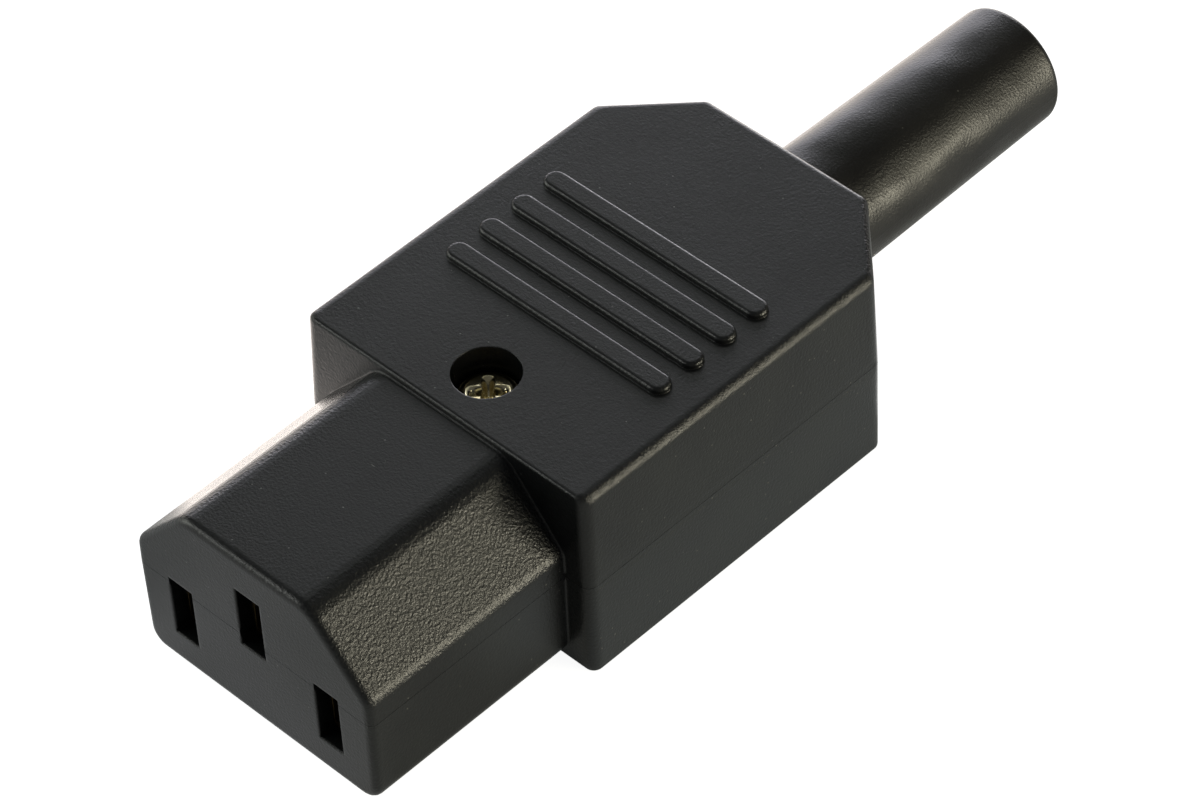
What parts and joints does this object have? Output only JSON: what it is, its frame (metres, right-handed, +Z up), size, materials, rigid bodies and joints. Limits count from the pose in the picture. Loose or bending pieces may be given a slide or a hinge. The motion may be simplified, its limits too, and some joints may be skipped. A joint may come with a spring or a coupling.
{
  "type": "c13 power connector",
  "caption": "Rewirable cable connector with a keyed nose, three contact slots, two screwed half shells and a rubber strain-relief boot.",
  "frame": {"origin": "centre of the footprint box, at the level of the underside", "axes": "-Y from the body towards the mating face, +Y along the cord, +Z up towards the earth slot, +X across"},
  "size_m": [0.027, 0.076, 0.0172],
  "materials": {
    "shell_plastic": "spark-eroded matt black",
    "boot_rubber": "smooth satin black",
    "contact_brass": "stamped",
    "screw_plating": "nickel plate with a yellow tinge",
    "zinc_plating": "zinc plate"
  },
  "bodies": {
    "root": {"upper_shell": "shell_plastic", "lower_shell": "shell_plastic", "strain_relief_boot": "boot_rubber", "shell_screw": "screw_plating", "shell_nut": "zinc_plating", "line_contact": "contact_brass", "neutral_contact": "contact_brass", "earth_contact": "contact_brass", "line_terminal": "contact_brass", "neutral_terminal": "contact_brass", "earth_terminal": "contact_brass", "line_terminal_screw": "screw_plating", "neutral_terminal_screw": "screw_plating", "earth_terminal_screw": "screw_plating", "cord_clamp": "shell_plastic", "left_clamp_screw": "zinc_plating", "right_clamp_screw": "zinc_plating"}
  },
  "joints": []
}
